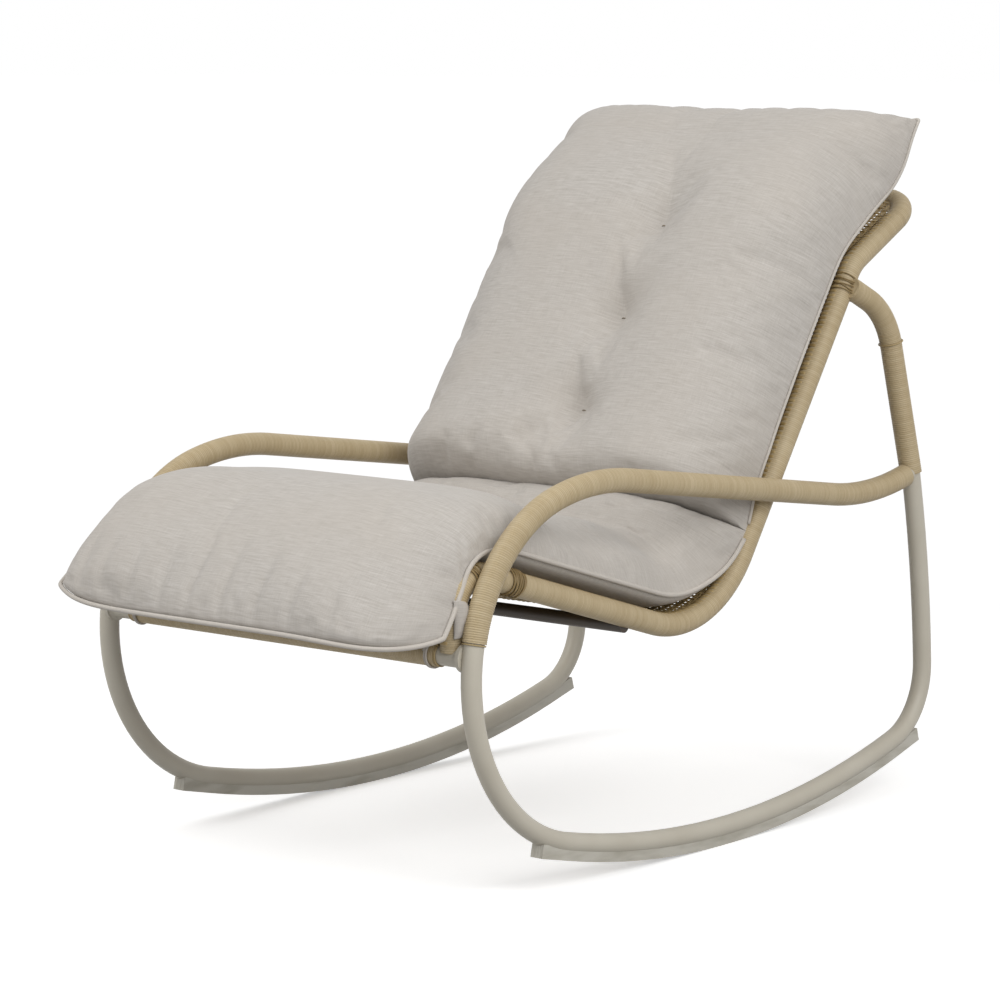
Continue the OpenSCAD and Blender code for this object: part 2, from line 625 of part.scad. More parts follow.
color("#c4bcb0") panel(0, seat_rows);  // seat_panel
color("#c4bcb0") panel(pad_l, back_rows);  // back_panel
color("#d0c8bc") piping(0);  // seat_piping
color("#d0c8bc") piping(pad_l);  // back_piping
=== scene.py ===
import math
import bpy
import numpy as np
from mathutils import Matrix, Vector


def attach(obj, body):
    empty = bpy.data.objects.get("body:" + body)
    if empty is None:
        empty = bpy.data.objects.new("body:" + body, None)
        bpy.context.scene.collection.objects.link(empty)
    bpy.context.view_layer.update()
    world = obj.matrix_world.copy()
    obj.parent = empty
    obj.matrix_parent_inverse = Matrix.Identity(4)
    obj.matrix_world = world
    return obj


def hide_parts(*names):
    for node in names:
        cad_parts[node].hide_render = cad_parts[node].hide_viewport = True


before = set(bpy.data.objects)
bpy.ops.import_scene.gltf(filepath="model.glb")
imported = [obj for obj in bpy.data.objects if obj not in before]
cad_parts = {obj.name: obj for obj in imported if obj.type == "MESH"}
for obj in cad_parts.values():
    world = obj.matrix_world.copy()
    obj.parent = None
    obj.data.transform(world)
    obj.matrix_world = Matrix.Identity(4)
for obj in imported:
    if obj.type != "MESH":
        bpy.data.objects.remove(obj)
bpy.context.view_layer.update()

# Camera: a long lens at the front left of the sitter, a little above the arms, so that both
# side loops, the front of the pad and the open side of the back show.
camera_at = (3.00723, -3.64751, 1.03682)
camera_back = Vector((0.63834, -0.75885, 0.12915)).normalized()
camera_right = Vector((0.765, 0.6437, 0.0)).normalized()
camera_up = camera_back.cross(camera_right)
lens = bpy.data.cameras.new("studio_camera")
lens.sensor_width = 36
lens.lens = 129.125
lens.shift_x = -0.0016
lens.shift_y = -0.0002
lens.clip_end = 100
camera = bpy.data.objects.new("studio_camera", lens)
bpy.context.scene.collection.objects.link(camera)
turned = Matrix((camera_right, camera_up, camera_back)).transposed().to_4x4()
camera.matrix_world = Matrix.Translation(camera_at) @ turned
bpy.context.scene.camera = camera
bpy.context.scene.view_settings.view_transform = "Standard"


# Frame tubes, struts, front rail and its welds: bent round steel tube, welded and sprayed with a
# warm grey powder coat that has a faint orange-peel surface. Their CAD solids stay and get the coat.
class Reading:
    """One socket of a material. Sums and products on it add the Math nodes that work them out."""

    def __init__(self, finish, socket):
        self.finish = finish
        self.socket = socket

    def math(self, operation, *others):
        """One Math node on this socket and the others."""
        return self.finish.add("ShaderNodeMath", {"operation": operation},
                               dict(enumerate((self,) + others)))

    def __add__(self, other):
        return self.math("ADD", other)

    def __sub__(self, other):
        return self.math("SUBTRACT", other)

    def __rsub__(self, other):
        return self.finish.add("ShaderNodeMath", {"operation": "SUBTRACT"}, {0: other, 1: self})

    def __mul__(self, other):
        return self.math("MULTIPLY", other)

    def __pow__(self, other):
        return self.math("POWER", other)

    __radd__ = __add__
    __rmul__ = __mul__


class Finish:
    """A material, or the world, that is being made: its shader, and the nodes that feed it."""

    def __init__(self, made, shader="Principled BSDF"):
        made.use_nodes = True
        self.made = made
        self.tree = made.node_tree
        self.shader = self.tree.nodes[shader]

    def put(self, socket, value):
        """Links a reading to a socket, or sets the socket's own value."""
        if isinstance(value, Reading):
            self.tree.links.new(value.socket, socket)
        else:
            socket.default_value = value

    def add(self, kind, settings=None, sockets=None, out=0):
        """One node of that kind: its settings first, then its sockets' values or links."""
        node = self.tree.nodes.new(kind)
        for key, value in (settings or {}).items():
            setattr(node, key, value)
        for key, value in (sockets or {}).items():
            self.put(node.inputs[key], value)
        return Reading(self, node.outputs[out])

    def place(self):
        """The point's place in the space of its object."""
        return self.add("ShaderNodeTexCoord", out="Object")

    def uv(self):
        """The point's place on the piece's own map."""
        return self.add("ShaderNodeUVMap", {"uv_map": "place"})

    def own_tone(self, count):
        """A chance number from 0 to 1 for each whole number that count passes."""
        return self.add("ShaderNodeTexWhiteNoise", {"noise_dimensions": "1D"}, {"W": count.math("FLOOR")})

    def mix(self, amount, first, second):
        """The first colour where amount is 0, going over to the second where it is 1."""
        return self.add("ShaderNodeMix", {"data_type": "RGBA"}, {0: amount, 6: first, 7: second}, 2)

    def noise(self, vector, scale, detail=3.0, rough=0.5):
        """Soft noise around 0.5, with scale lumps to each unit of the vector."""
        sockets = {"Vector": vector, "Scale": scale, "Detail": detail, "Roughness": rough}
        return self.add("ShaderNodeTexNoise", None, sockets)

    def stretched(self, vector, factors):
        """The vector with each axis times its own factor."""
        sockets = {"Vector": vector, "Scale": factors}
        return self.add("ShaderNodeMapping", None, sockets)

    def step(self, value, low, high):
        """0 below low, 1 above high and an even slope between them."""
        return self.add("ShaderNodeMapRange", None, {0: value, 1: low, 2: high})

    def bump(self, height, distance, strength=1.0):
        """A normal tilted as if the surface rose by height times distance, in metres."""
        sockets = {"Height": height, "Distance": distance, "Strength": strength}
        return self.add("ShaderNodeBump", None, sockets)

    def shade(self, **sockets):
        """Fills the shader's own sockets, and gives back the material or the world."""
        for key, value in sockets.items():
            self.put(self.shader.inputs[key.replace("_", " ")], value)
        return self.made


def tint(red, green, blue):
    """A screen colour, 0 to 255, as the linear colour that a shader takes."""
    return tuple((v / 255) ** 2.2 for v in (red, green, blue)) + (1.0,)


def powder_coat(name, pale, deep, roughness):
    """Colour drifts slowly between two tones, and a fine noise lifts the surface a little."""
    coat = Finish(bpy.data.materials.new(name))
    place = coat.place()
    drift = coat.noise(place, 11.0, 2.0)
    speck = coat.noise(place, 1500.0, 2.0)
    peel = coat.noise(place, 420.0, 1.0)
    colour = coat.mix(coat.step(drift * 0.8 + speck * 0.2, 0.3, 0.7), deep, pale)
    return coat.shade(Base_Color=colour, Roughness=roughness + speck * 0.12,
                      Normal=coat.bump(peel, 0.0002, 0.5))


def dress(node_names, material):
    """Gives a material to nodes that keep their own solids."""
    for name in node_names:
        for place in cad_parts[name].material_slots:
            place.material = material


dress(["left_side_loop", "right_side_loop", "left_strut", "right_strut", "front_rail",
       "rail_welds", "left_seat_tube", "right_seat_tube", "head_rail"],
      powder_coat("warm_grey_coat", tint(192, 186, 172), tint(182, 175, 160), 0.42))

# Cross bar under the seat: a thinner steel tube, cut to fit between the two seat tubes and welded
# to them. Its coat is dark brown, darkened to paint in the deep shade under the pad.
dress(["cross_bar"], powder_coat("brown_coat_painted_shade", tint(58, 47, 34), tint(46, 37, 27), 0.45))


# Glide strips: moulded strips of pale grey plastic under the rockers, which the chair rolls on.
# They are scuffed along the line where they meet the floor.
def scuffed_plastic(name, pale, deep):
    """Fine moulding texture, with duller streaks that run along the strip."""
    plastic = Finish(bpy.data.materials.new(name))
    place = plastic.place()
    streak = plastic.noise(plastic.stretched(place, (400.0, 12.0, 60.0)), 1.0, 3.0)
    grain = plastic.noise(place, 900.0, 2.0)
    worn = plastic.step(streak, 0.45, 0.7)
    colour = plastic.mix(worn, pale, deep)
    return plastic.shade(Base_Color=colour, Roughness=0.45 + worn * 0.2,
                         Normal=plastic.bump(grain, 0.0002, 0.4))


dress(["left_glide_strip", "right_glide_strip"],
      scuffed_plastic("glide_plastic", tint(186, 182, 171), tint(164, 159, 146)))

# Windings: one round wicker strand wound in close turns round each tube. The turns stand out on
# the posts and struts, and lie nearly smooth on the arms, the seat and back tubes and the head.
MM = 0.001
X, Y, Z = np.eye(3)
wound_r = 15.15
turn_pitch = 2.7
turn_play = 0.05
rings_a_turn = 5
points_round = 24
rib_change = (690, 800)
loop_x = 305.85
seat_x = 275.45
loop_run = [("arc", 456.4, -23.6), ("line", 442.976), ("arc", 358.9, 22.56), ("arc", 210.8, 76.6)]
loop_tip = (430.446, 443.26)
arm_wound = (15.25, 1001.7)
strut_foot = (430.113, 444.763)
strut_run = [("line", 176.3), ("arc", 90.0, 54.0), ("line", 42.991)]
strut_draw = math.radians(3.8973)
strut_wound = (-3.0, 306.0)
seat_foot = (-489.941, 306.858)
seat_run = [("line", 46.418), ("arc", 45.0, -106.7), ("line", 342.2), ("arc", 167.9, 73.0),
            ("line", 411.0)]
seat_wound_from = 5.0
head_side = [("line", 12.0), ("arc", 60.0, -28.3), ("line", 101.0)]
head_foot = (311.731, 707.636)
head_corner_r = 54.0
head_l = 442.9
head_run = head_side + [("roll", -90.0), ("arc", head_corner_r, 90.0), ("line", head_l),
                        ("arc", head_corner_r, 90.0), ("roll", 90.0), ("line", 101.0),
                        ("arc", 60.0, 28.3), ("line", 12.0)]
head_wound = (0.0, 897.7)
rail_l = 510.3


def facing(degrees, up=Z):
    """Heading and left directions in the plane of Y and up, at an angle above Y."""
    a = math.radians(degrees)
    return math.cos(a) * Y + math.sin(a) * up, math.cos(a) * up - math.sin(a) * Y


def step_length(size, turn=0):
    """The length of a line, or of a bend: its radius times its angle."""
    return size * abs(math.radians(turn)) if turn else size


def run_length(run, digits=2):
    """The lengths of all lines and bends of a run together, rounded."""
    return round(sum(step_length(*step) for kind, *step in run if kind != "roll"), digits)


def walk(run, s, at, heading, left):
    """Places, headings and left directions at distances s along a run of lines and bends.

    On a line the place moves along the heading. On a bend of radius r, heading h and left n turn by
    t = distance / r into h cos t + n sin t and n cos t - h sin t, about a centre r to the left.
    """
    s = np.asarray(s, float)
    place, h, n = np.array(at, float), np.array(heading, float), np.array(left, float)
    found = [np.zeros(s.shape + (3,)) for _ in range(3)]
    begun = 0.0
    here = np.ones(s.shape, bool)
    for kind, size, *turn in run:
        if kind == "roll":
            a = math.radians(size)
            n = n * math.cos(a) + np.cross(h, n) * math.sin(a)
            continue
        r = math.copysign(size, turn[0]) if turn else math.inf
        length = step_length(size, *turn)

        def after(d):
            t = d / r
            turned_h = h * np.cos(t) + n * np.sin(t)
            turned_n = n * np.cos(t) - h * np.sin(t)
            return (place + r * (n - turned_n) if turn else place + d * h), turned_h, turned_n

        for kept, new in zip(found, after((s[here] - begun)[:, None])):
            kept[here] = new
        place, h, n = after(length)
        begun += length
        here = s >= begun
    return found


def rings(places, side, other, height, turn):
    """Rings of points round a path: the place, and height along side cos + other sin of the turn."""
    angle = 2 * np.pi * turn
    cos, sin = np.cos(angle)[..., None], np.sin(angle)[..., None]
    out = side[..., None, :] * cos + other[..., None, :] * sin
    return places[..., None, :] + out * height[..., None]


def piece_of(name, points, faces, smooth, marks, material):
    """A piece from points in millimetres, its faces, whether each is smooth, and the UV place of
    each face's corners."""
    mesh = bpy.data.meshes.new(name)
    mesh.from_pydata((points.reshape(-1, 3) * MM).tolist(), [], faces)
    layer = mesh.uv_layers.new(name="place")
    layer.data.foreach_set("uv", marks.astype("f4"))
    mesh.polygons.foreach_set("use_smooth", smooth)
    mesh.materials.append(material)
    piece = bpy.data.objects.new(name, mesh)
    bpy.context.scene.collection.objects.link(piece)
    return piece


def shell(name, points, marks, material):
    """A piece of closed skins, points[path, step, around]: faces join each ring to the next, and a
    flat face closes both ends. marks are UV places, with one more column than a ring has points."""
    paths, steps, ring = points.shape[:3]
    first = np.arange(paths * steps * ring).reshape(paths, steps, ring)
    after = np.roll(first, -1, axis=2)
    sides = np.stack([first[:, :-1], after[:, :-1], after[:, 1:], first[:, 1:]], -1).reshape(-1, 4)
    ends = np.concatenate([first[:, 0, ::-1], first[:, -1]])
    corners = [marks[:, :-1, :-1], marks[:, :-1, 1:], marks[:, 1:, 1:], marks[:, 1:, :-1]]
    caps = np.concatenate([marks[:, 0, :-1][:, ::-1], marks[:, -1, :-1]])
    return piece_of(name, points, sides.tolist() + ends.tolist(),
                    [True] * len(sides) + [False] * len(ends),
                    np.concatenate([np.stack(corners, 3).ravel(), caps.ravel()]), material)


def settle(piece, slot, *nodes):
    """Rides a piece on the chair's one body and hides the nodes that it stands for; slot is not used."""
    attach(piece, "root")
    if nodes:
        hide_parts(*nodes)


def wound(name, run, start, reach, rib, material):
    """A winding: rings of radius r - rib * (1 - half circle of u), where u counts the turns,
    distance / pitch - angle / full turn. Each turn also lies a little higher or lower. rib goes
    from its first to its second depth over the distances of rib_change."""
    s = np.linspace(*reach, int((reach[1] - reach[0]) / (turn_pitch / rings_a_turn)) + 1)
    turn = np.linspace(0, 1, points_round + 1)
    place, heading, left = walk(run, s, *start)
    u = s[:, None] / turn_pitch - turn
    across = (u % 1) * 2 - 1
    depth = np.interp(s, rib_change, rib)[:, None]
    height = wound_r - depth * (1 - np.sqrt(1 - across ** 2)) + turn_play * np.sin(2.4 * np.floor(u))
    points = rings(place, left, np.cross(heading, left), height[:, :-1], turn[None, :-1])
    marks = np.stack([u, np.broadcast_to(turn, u.shape)], -1)
    return shell(name, points[None], marks[None], material)


def strand_wicker(name, pale, deep, valley):
    """Each turn has its own tone and streaks along it; painted shade darkens it between turns."""
    wicker = Finish(bpy.data.materials.new(name))
    uv = wicker.uv()
    u = wicker.add("ShaderNodeSeparateXYZ", None, {0: uv}, "X")
    own = wicker.own_tone(u)
    drift = wicker.noise(wicker.place(), 16.0, 3.0)
    streak = wicker.noise(wicker.stretched(uv, (9.0, 6.0, 1.0)), 1.0, 3.0, 0.6)
    # edge and valley paint shade into the grooves between turns, darkest at each turn's edges.
    edge = (u.math("FRACT") - 0.5).math("ABSOLUTE") * 2
    colour = wicker.mix(wicker.step(own * 0.2 + drift * 0.45 + streak * 0.35, 0.3, 0.7), deep, pale)
    colour = wicker.mix(edge ** 5 * 0.55, colour, valley)
    return wicker.shade(Base_Color=colour, Roughness=0.44 + streak * 0.16,
                        Normal=wicker.bump(streak, 0.0003, 0.35))


# The third tone is the painted shade in the grooves between turns.
wicker = strand_wicker("wound_wicker", tint(189, 172, 139), tint(171, 152, 117), tint(112, 92, 58))
seat_wound = (seat_wound_from, run_length(seat_run))
for side, name in ((1, "left"), (-1, "right")):
    drawn_up = Z * math.cos(strut_draw) - side * X * math.sin(strut_draw)
    loop_start = ((side * loop_x, *loop_tip), *facing(195.79))
    strut_start = ((side * loop_x, *strut_foot), *facing(101.1, drawn_up))
    seat_start = ((side * seat_x, *seat_foot), *facing(90))
    settle(wound(name + "_arm_winding", loop_run, loop_start, arm_wound, (0.4, 1.15), wicker),
           "wicker", name + "_arm_wrap")
    settle(wound(name + "_strut_winding", strut_run, strut_start, strut_wound, (1.0, 1.0), wicker),
           "wicker", name + "_strut_wrap")
    settle(wound(name + "_seat_winding", seat_run, seat_start, seat_wound, (0.5, 0.5), wicker),
           "wicker", name + "_seat_wrap")
head_start = ((seat_x, *head_foot), *facing(56.3))
settle(wound("head_winding", head_run, head_start, head_wound, (0.5, 0.5), wicker),
       "wicker", "head_rail_wrap")
rail_start = ((-rail_l / 2, *seat_foot), X, Z)
settle(wound("front_rail_winding", [("line", rail_l)], rail_start, (0.0, rail_l), (0.7, 0.7), wicker),
       "wicker", "front_rail_wrap")

# End strands of the windings: thin rings of the same wicker, pulled tight and tucked in where a
# winding stops.
dress(["wrap_end_rings"], powder_coat("end_strand", tint(176, 156, 116), tint(150, 128, 88), 0.5))

# Woven panel: flat wicker stakes run from the front rail over the seat and back to the head rail,
# and flat weavers pass over and under them and turn over the side tubes. The light shows through
# the small square holes.
stake_pitch = 12.75
stake_gap = 4.5
stake_w = 4.3
stake_step = 9
stake_pairs = 20
row_pitch = 7.0
first_row_s = 17.5
weaver_w = 4.0
flat_t = 1.3
weave_gap = 0.25
panel_lift = 8.0
panel_in = 13.985
panel_half = seat_x - panel_in
corner_in = head_corner_r - panel_in
head_half = head_l / 2
side_run = seat_run + head_side + [("line", 60.0)]
side_l = run_length(seat_run + head_side)
panel_start = ((0.0, *seat_foot), *facing(90))
edge_s = run_length(seat_run[:2])
low_s = edge_s + run_length(seat_run[2:3]) + run_length(seat_run[3:4]) / 2
weaver_steps = 83
level_l = 8
end_steps = 9
end_turn = (150, 74)
end_lift = (0.9, -0.7)
end_run = (0.1, 5)


def flat_strand(place, along, normal, width, thickness):
    """A flat strand: eight corners round each step, up to half the width to each side and half the
    thickness up and down, with its edges cut off."""
    across = np.cross(normal, along)
    corners = [(1, 0.55), (0.55, 1), (-0.55, 1), (-1, 0.55),
               (-1, -0.55), (-0.55, -1), (0.55, -1), (1, -0.55)]
    return np.stack([place + across * a * width / 2 + normal * b * thickness / 2
                     for a, b in corners], -2)


def strand_marks(points, own):
    """UV places of strands: metres along the path, and a band of its own for each strand."""
    steps = np.linalg.norm(np.diff(points.mean(2), axis=1), axis=-1) * MM
    along = np.concatenate([np.zeros((len(points), 1)), np.cumsum(steps, 1)], 1)
    ring = np.linspace(0, 1, points.shape[2] + 1)
    shape = points.shape[:2] + (len(ring),)
    return np.stack([np.broadcast_to(along[:, :, None], shape),
                     np.broadcast_to(own[:, None, None] + ring * 0.9, shape)], -1)


def unit(v):
    """Directions of length 1."""
    return v / np.linalg.norm(v, axis=-1, keepdims=True)


def flat_wicker(name, pale, deep):
    """Each strand has its own tone, with fine streaks along it."""
    flat = Finish(bpy.data.materials.new(name))
    uv = flat.uv()
    own = flat.own_tone(flat.add("ShaderNodeSeparateXYZ", None, {0: uv}, "Y"))
    streak = flat.noise(flat.stretched(uv, (30.0, 9.0, 1.0)), 1.0, 3.0, 0.6)
    colour = flat.mix(flat.step(own * 0.5 + streak * 0.5, 0.25, 0.75), deep, pale)
    return flat.shade(Base_Color=colour, Roughness=0.45 + streak * 0.15,
                      Normal=flat.bump(streak, 0.0002, 0.4))


# The panel's strands take the wound wicker's tones made darker: painted shade for the panel under the pad.
strand = flat_wicker("flat_wicker", tint(176, 153, 108), tint(146, 122, 78))


def stakes(name, reach, material):
    """Stakes: pairs of flat strands at even places across the panel, carried along the side run to
    just past its end, where the head's bends make two round corners."""
    pairs = np.arange(-stake_pairs, stake_pairs + 1) * stake_pitch
    x = np.repeat(pairs, 2) + np.tile([-0.5, 0.5], len(pairs)) * stake_gap
    corner_x = np.maximum(abs(x) - head_half, 0)
    end = np.minimum(reach[1], side_l + np.sqrt(corner_in ** 2 - corner_x ** 2) + 5)
    steps = np.linspace(0, 1, int((reach[1] - reach[0]) / stake_step) + 2)
    s = reach[0] + (end - reach[0])[:, None] * steps
    place, heading, left = walk(side_run, s, *panel_start)
    place = place + left * panel_lift + x[:, None, None] * X
    points = flat_strand(place, heading, left, stake_w, flat_t)
    return shell(name, points, strand_marks(points, np.arange(len(x))), material)


def weavers(name, reach, material):
    """Weavers: flat strands across the panel. The height over the panel's middle layer is a cosine
    that peaks over one stake and dips under the next. The ends turn over the side tubes, and run
    straight into the winding where the panel narrows at the head."""
    rows = np.arange(*(math.ceil((s - first_row_s) / row_pitch) for s in reach))
    s = first_row_s + rows * row_pitch
    corner_s = np.maximum(s - side_l, 0)
    narrowed = head_half + np.sqrt(np.maximum(corner_in ** 2 - corner_s ** 2, 0))
    half = np.where(s < side_l, panel_half, narrowed)[:, None]
    place, heading, left = (v[:, None] for v in walk(side_run, s, *panel_start))
    x = half * np.linspace(-1, 1, weaver_steps)
    wave = np.cos(np.pi * (x / stake_pitch + rows[:, None])) * (flat_t + weave_gap)
    wave = wave * np.clip((half - abs(x)) / level_l, 0, 1)
    middle = place + left * (panel_lift + wave)[..., None] + x[..., None] * X
    turn = np.radians(np.linspace(*end_turn, end_steps))
    over = wound_r + np.linspace(*end_lift, end_steps)
    by_tube = (s < side_l - level_l)[:, None]
    end_x = np.where(by_tube, seat_x + over * np.cos(turn), half + np.linspace(*end_run, end_steps))
    end_h = np.where(by_tube, over * np.sin(turn), panel_lift)
    right, near = (place + left * end_h[..., None] + (side * end_x)[..., None] * X for side in (-1, 1))
    points = np.concatenate([right[:, ::-1], middle, near], 1)
    normal = unit(np.cross(unit(np.gradient(points, axis=1)), heading))
    normal = normal * np.sign((normal * left).sum(-1, keepdims=True) + 1e-9)
    from_tube = unit(points - (place + np.sign(points[..., :1]) * seat_x * X))
    normal = np.where(abs(points[..., :1]) > seat_x, from_tube, normal)
    ring = flat_strand(points, unit(np.gradient(points, axis=1)), normal, weaver_w, flat_t)
    return shell(name, ring, strand_marks(ring, rows), material)


for name, reach, stands_for in (("apron", (11.0, edge_s), ["apron_weave"]),
                                ("seat", (edge_s, low_s), ["seat_weave"]),
                                ("back", (low_s, side_l + corner_in), ["back_weave", "weft_bands"])):
    settle(stakes(name + "_stakes", reach, strand), "strand")
    settle(weavers(name + "_weavers", reach, strand), "strand", *stands_for)

# Pad: two sewn panels of slubbed fabric over soft filling, in one piece with a deep fold where the
# seat meets the back. The back is tufted down its middle, and the open edges are piped.
pad_half = 280.0
pad_start = ((0.0, -614.512, 333.819), *facing(37))
pad_run = [("line", 140.0), ("arc", 92.0, -53.7), ("line", 342.0), ("arc", 129.9, 73.0),
           ("line", 405.0), ("arc", 170.0, -19.0), ("line", 88.0), ("arc", 90.0, 17.0), ("line", 92.0)]
pad_l = run_length(pad_run)
pad_front_l = run_length(pad_run[:2], 3)
pad_bend_s = run_length(pad_run[:3], 3)
fold_s = 760.0
fold_l = 46.0
front_wide = (14.0, 0.0, 150.0)
back_wide = 8.0
head_wide = (8.0, 1330.0, 45.0)
far_head_in = 3.0
waist = 0.022
near_front_in = 70.0
near_head_out = 10.0
far_in = 22.0
near_front_low = 54.0
far_front_up = 6.0
front_low_s = (40.0, 280.0)
hips_low = (24.0, 752.0, 75.0)
seat_crown = 66.0
hem_share = 0.45
bend_swell = 18.0
seat_dips = ((8.0, 430.0, 90.0), (22.0, 630.0, 80.0))
far_front_swell = 15.0
back_crown = 104.0
fold_swell = 10.0
seat_swell_l = 250.0
back_swell_l = 330.0
pad_belly = 25.0
front_belly = 22.5
valley = (10.0, 12.0, 75.0)
tufts = ((1150.0, 36.0), (1009.0, 31.0), (866.0, 27.0))
tuft_depth = 24.0
tuft_r = 30.0
tuft_sewn_r = 6.0
crease_depth = 6.0
crease_slope = 0.35
crease_w = 11.0
pleats = (-235.0, -196.0, -148.0, -97.0, -50.0, 4.0, 62.0, 120.0, 180.0, 235.0)
pleat_depth = 7.0
pleat_w = 6.0
cloth_step = 6.3
cloth_across = 690
hem = 0.03


def ease(t, low, high):
    """0 below low and 1 above high, with level ends: 3 u^2 - 2 u^3 of the share u between them."""
    u = np.clip((t - low) / (high - low), 0, 1)
    return u * u * (3 - 2 * u)


def bell(t, height, middle, reach):
    """A rise to height at middle, height * exp(-u^2) with u the distance from it over reach."""
    return height * np.exp(-((t - middle) / reach) ** 2)


def bulge(t):
    """1 in the middle and 0 at -1 and 1, with full round shoulders."""
    return np.maximum(1 - abs(t) ** 5.5, 0) ** 0.43


def even(shape, size, rise, count):
    """Values of t from -1 to 1 at even steps along the curve (size * t, rise * shape(t))."""
    t = np.sin(np.linspace(-np.pi / 2, np.pi / 2, 4001))
    steps = np.hypot(np.diff(size * t), np.diff(rise * shape(t)))
    length = np.concatenate([[0], np.cumsum(steps)])
    return np.interp(np.linspace(0, length[-1], count + 1), length, t), length[-1]


def pad_lines(open_s, a, b):
    """Distance along the pad, place across it, and how far it hangs below its run. a goes across
    from -1 to 1, and b from the open end at 0 to the fold at 1. The corners are drawn in by
    a^8 (1 - b)^6. The near front corner hangs by a^5, and both sides hang at the hips by a^9."""
    seat = open_s < fold_s
    corner = np.where(a > 0, near_front_in if seat else -near_head_out, far_in)
    s = open_s + (fold_s - open_s) * b + (1 if seat else -1) * corner * a ** 8 * (1 - b) ** 6
    up_back = back_wide * ease(s, fold_s + 30, fold_s + 120) + bell(s, *head_wide)
    wide = np.where(s < fold_s, bell(s, *front_wide), up_back)
    wide = np.where(a > 0, wide, -far_head_in * (1 - b) ** 12)
    x = a * (pad_half * (1 - waist * np.sin(np.pi * b)) + wide)
    low = np.where(a > 0, near_front_low, -far_front_up) * abs(a) ** 5 * (1 - ease(s, *front_low_s))
    return s, x, low + abs(a) ** 9 * bell(s, *hips_low)


def pad_crown(s, a):
    """Height of the crown: low at the front hem, fuller at the far front, over the seat with two
    shallow dips, and level up the back with a little more at the fold."""
    past_hem = ease(s, pad_front_l - 100, pad_front_l + 100)
    seat = seat_crown * (hem_share + (1 - hem_share) * past_hem)
    seat = seat + bend_swell * ease(s, pad_bend_s - 120, pad_bend_s + 30)
    seat = seat + far_front_swell * ease(-a, 0.2, 0.7) * ease(s, 0, 30) * (1 - ease(s, 130, 260))
    for dip in seat_dips:
        seat = seat - bell(s, *dip)
    return np.where(s < fold_s, seat, back_crown + fold_swell * (1 - ease(s, fold_s, fold_s + 130)))


def pad_pinch(s, x):
    """Depth of the valley up the middle of the back, of each tuft and the crease that rises from
    it, and of the pleats along the front hem."""
    pinch = bell(x, *valley) * ease(s, fold_s + 20, fold_s + 110)
    for tuft_s, tuft_x in tufts:
        past = s - tuft_s
        pinch = pinch + bell(np.hypot(past, x - tuft_x), tuft_depth, 0, tuft_r)
        crease = bell(x + crease_slope * past, crease_depth, tuft_x, crease_w)
        pinch = pinch + crease * ease(past, 0, 18) * (1 - ease(past, 0, 105))
    for pleat_x in pleats:
        pleat = bell(x, pleat_depth, pleat_x, pleat_w)
        pinch = pinch + pleat * ease(s, 0, 14) * (1 - ease(s, 0, 110))
    return pinch


def pad_sheet(open_s, a, b, top):
    """Points of a panel's upper or lower sheet, and the pad's left directions there. The height over
    the seam is (crown - pinch) * bulge(a) * closing(b) above it, and the belly's below it."""
    s, x, low = pad_lines(open_s, a, b)
    to_end = b * abs(fold_s - open_s)
    to_fold = abs(fold_s - s)
    closing = bulge(np.maximum(1 - to_end / (seat_swell_l if open_s < fold_s else back_swell_l), 0))
    closing = closing * np.maximum(1 - np.maximum(1 - to_fold / fold_l, 0) ** 2.6, 0) ** 0.5
    full = bulge(a) * closing
    if top:
        height = pad_crown(s, a) * full - pad_pinch(s, x) * full
    else:
        height = -np.where(s < pad_front_l, front_belly, pad_belly) * full
    place, heading, left = walk(pad_run, s, *pad_start)
    return place + left * (height - low)[..., None] + x[..., None] * X, left


def tuft_places():
    """The places of the tufts on the back panel's upper sheet."""
    s, x = np.array(tufts).T
    return pad_sheet(pad_l, (x / pad_half)[None], ((s - pad_l) / (fold_s - pad_l))[None], True)[0][0]


def quads(grid):
    """The four corners of each cell of a grid."""
    return np.stack([grid[:-1, :-1], grid[:-1, 1:], grid[1:, 1:], grid[1:, :-1]], 2)


def panel(name, open_s, material):
    """A panel: an upper and a lower sheet on one grid of even steps, sharing the seam round them.
    Also returns the points that the filling can't move: the seam, the tufts and the lower sheet."""
    length = abs(fold_s - open_s)
    a, wide = even(bulge, pad_half, 70.0, int(cloth_across / cloth_step))
    b, tall = even(lambda t: np.minimum(bulge(t), 1), length / 2, 45.0, int((length + 90) / cloth_step))
    b = (b + 1) / 2
    b = np.concatenate([np.linspace(0, hem, 6)[:-1], b[b > hem]])
    grid_a, grid_b = np.meshgrid(a, b)
    upper = pad_sheet(open_s, grid_a, grid_b, True)[0]
    lower = pad_sheet(open_s, grid_a, grid_b, False)[0]
    marks = np.stack(np.meshgrid(np.linspace(0, wide, len(a)), b * tall), -1) * MM
    if open_s > fold_s:
        upper, lower, marks = upper[::-1], lower[::-1], marks[::-1]
    rows, cols = upper.shape[:2]
    top = np.arange(rows * cols).reshape(rows, cols)
    under = top.copy()
    under[1:-1, 1:-1] = rows * cols + np.arange((rows - 2) * (cols - 2)).reshape(rows - 2, cols - 2)
    faces = np.concatenate([quads(top).reshape(-1, 4), quads(under)[..., ::-1].reshape(-1, 4)])
    points = np.concatenate([upper.reshape(-1, 3), lower[1:-1, 1:-1].reshape(-1, 3)])
    corners = quads(marks)
    both = np.concatenate([corners.ravel(), corners[:, :, ::-1].ravel()])
    piece = piece_of(name, points, faces.tolist(), [True] * len(faces), both, material)
    seam = np.zeros((rows, cols), bool)
    seam[[0, -1]] = True
    seam[:, [0, -1]] = True
    for place in tuft_places():
        seam |= ((upper - place) ** 2).sum(-1) < tuft_sewn_r ** 2
    return piece, np.concatenate([top[seam], under[1:-1, 1:-1].ravel()])


